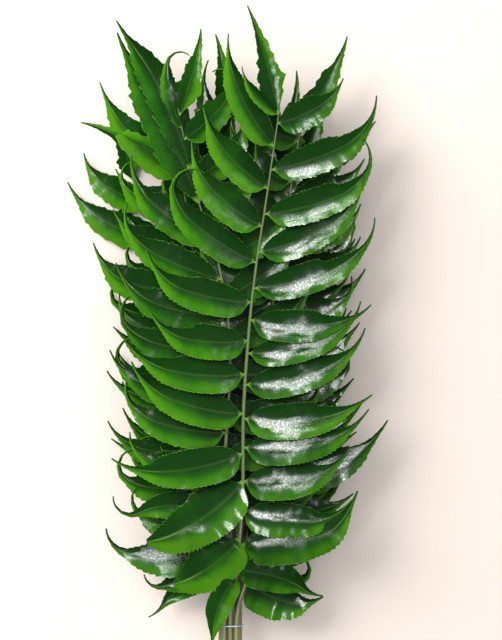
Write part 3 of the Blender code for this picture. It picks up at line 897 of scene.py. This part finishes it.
class FERN_OT_tie(Operator):
    """Make the cord that is drawn tight round the stems"""

    bl_idname = "fern.tie"
    bl_label = "Tie"

    def execute(self, context):
        stems = context.scene.fern_stems
        places = [frond[0] for frond in FRONDS] + [FRONT_PLACE]
        centres = [Vector((slot * STEM_PITCH, (row - 1) * ROW_RISE + BUNDLE_HEIGHT)) for row, slot in places]
        middle = sum(centres, Vector((0, 0))) / len(centres)
        at = placed((middle.x, 0, middle.y))
        bpy.ops.object.select_all(action="DESELECT")
        bpy.ops.mesh.primitive_torus_add(
            major_segments=CORD_STEPS, minor_segments=CORD_SIDES, major_radius=CORD_RING * MM,
            minor_radius=stems.cord_radius, location=at, rotation=(math.pi / 2, 0, 0))
        piece = context.object
        bpy.ops.object.transform_apply(location=True, rotation=True, scale=True)
        piece.name = piece.data.name = "tie_cord"
        reach = STEM_RADIUS + STEM_GAP / 2 + stems.cord_radius / MM
        bpy.ops.object.mode_set(mode="EDIT")
        bpy.ops.mesh.select_mode(type="VERT")
        for step in range(CORD_STEPS):
            turn = 2 * math.pi * step / CORD_STEPS
            outward = Vector((math.cos(turn), math.sin(turn)))
            distance = self.hull_distance(centres, middle, outward, reach)
            select_where(piece, lambda co: self.in_step(co - at, turn))
            shift = outward * (distance - CORD_RING) * MM
            bpy.ops.transform.translate(value=(shift.x, 0, shift.y))
        bpy.ops.mesh.select_all(action="SELECT")
        bpy.ops.mesh.normals_make_consistent(inside=False)
        bpy.ops.object.mode_set(mode="OBJECT")
        finish_piece(piece, cord_look("tie_cord", stems), CORD_SHARP_EDGE)
        hang_on(piece, "tie")
        return {"FINISHED"}

    @staticmethod
    def hull_distance(centres, middle, outward, reach):
        """How far from the middle a tight cord lies in this direction: the least over its straight runs."""
        runs = []
        for step in range(180):
            turn = math.pi * step / 90
            normal = Vector((math.cos(turn), math.sin(turn)))
            facing = normal.dot(outward)
            if facing > 0.2:
                furthest = max((centre - middle).dot(normal) for centre in centres) + reach
                runs.append(furthest / facing)
        return min(runs)

    @staticmethod
    def in_step(offset, turn):
        """True for the vertices of the ring's section at this angle."""
        angle = math.atan2(offset.z, offset.x) - turn
        angle = (angle + math.pi) % (2 * math.pi) - math.pi
        return abs(angle) < math.pi / CORD_STEPS


class FERN_OT_stage(Operator):
    """Make the floor, the lights and the camera"""

    bl_idname = "fern.stage"
    bl_label = "Stage"

    def execute(self, context):
        stage = context.scene.fern_stage
        bpy.ops.object.select_all(action="DESELECT")
        bpy.ops.mesh.primitive_plane_add(size=FLOOR_SIZE, location=(0, 0, -FLOOR_DROP))
        floor = context.object
        floor.name = "floor"
        bpy.ops.object.transform_apply(location=True)
        floor.data.materials.append(floor_look("floor", stage))
        self.soft_light(
            "left_light", stage.key, (1.1, 1.7), (-1.30, 0.80, 1.00), (0.0, 0.02, 0.03), (1.0, 0.99, 0.97))
        self.soft_light(
            "sheen_light", stage.sheen, (0.44, 0.36), (0.24, 0.27, 1.20), (0.05, 0.02, 0.04), sheen_only=True)
        self.soft_light(
            "low_light", stage.low_sheen, (0.45, 0.40), (-0.10, -0.62, 1.15), (0.0, -0.12, 0.05),
            sheen_only=True)
        world = bpy.data.worlds.new("room")
        world.use_nodes = True
        room = world.node_tree.nodes["Background"]
        room.inputs["Color"].default_value = ROOM_TINT
        room.inputs["Strength"].default_value = stage.sky
        context.scene.world = world
        world.cycles_visibility.glossy = False
        context.scene.view_settings.view_transform = "Standard"
        self.camera(context, stage)
        return {"FINISHED"}

    @staticmethod
    def soft_light(name, power, size, place, target, colour=(1.0, 1.0, 1.0), sheen_only=False):
        """A soft light that faces the target, and gives either sheen alone or all light but sheen."""
        turn = (Vector(target) - Vector(place)).to_track_quat("-Z", "Y").to_euler()
        bpy.ops.object.light_add(type="AREA", location=place, rotation=turn)
        light = bpy.context.object
        light.name = light.data.name = name
        light.data.shape = "RECTANGLE"
        light.data.size, light.data.size_y = size
        light.data.energy = power
        light.data.color = colour
        light.visible_camera = False
        light.visible_diffuse = not sheen_only
        light.visible_glossy = sheen_only

    @staticmethod
    def camera(context, stage):
        """Straight down on the bunch, with its tips at the top of the frame."""
        across, up, level = VIEW_MIDDLE
        distance = VIEW_HEIGHT * stage.lens / SENSOR
        bpy.ops.object.camera_add(location=(across, up, level + distance), rotation=(0, 0, 0))
        camera = context.object
        camera.name = camera.data.name = "camera"
        camera.data.lens = stage.lens
        camera.data.sensor_width = SENSOR
        camera.data.sensor_fit = "AUTO"
        context.scene.camera = camera


class FERN_PT_bunch(Panel):
    """Steps and settings of the bunch"""

    bl_idname = "FERN_PT_bunch"
    bl_label = "Fern bunch"
    bl_space_type = "VIEW_3D"
    bl_region_type = "UI"
    bl_category = "Fern"

    def draw(self, context):
        layout = self.layout
        for operator in OPERATORS:
            layout.operator(operator.bl_idname)
        for group in (context.scene.fern_leaves, context.scene.fern_stems, context.scene.fern_stage):
            for name in group.bl_rna.properties.keys():
                if name not in ("rna_type", "name"):
                    layout.prop(group, name)


OPERATORS = (FERN_OT_rear_fronds, FERN_OT_front_frond, FERN_OT_tie, FERN_OT_stage)
CLASSES = (FernLeaves, FernStems, FernStage, *OPERATORS, FERN_PT_bunch)


def register():
    for made in CLASSES:
        bpy.utils.register_class(made)
    bpy.types.Scene.fern_leaves = PointerProperty(type=FernLeaves)
    bpy.types.Scene.fern_stems = PointerProperty(type=FernStems)
    bpy.types.Scene.fern_stage = PointerProperty(type=FernStage)


def unregister():
    del bpy.types.Scene.fern_stage
    del bpy.types.Scene.fern_stems
    del bpy.types.Scene.fern_leaves
    for made in reversed(CLASSES):
        bpy.utils.unregister_class(made)


def main():
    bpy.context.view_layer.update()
    register()
    bpy.ops.object.select_all(action="DESELECT")
    bpy.ops.fern.rear_fronds()
    bpy.ops.fern.front_frond()
    bpy.ops.fern.tie()
    bpy.ops.fern.stage()


if __name__ == "__main__":
    main()
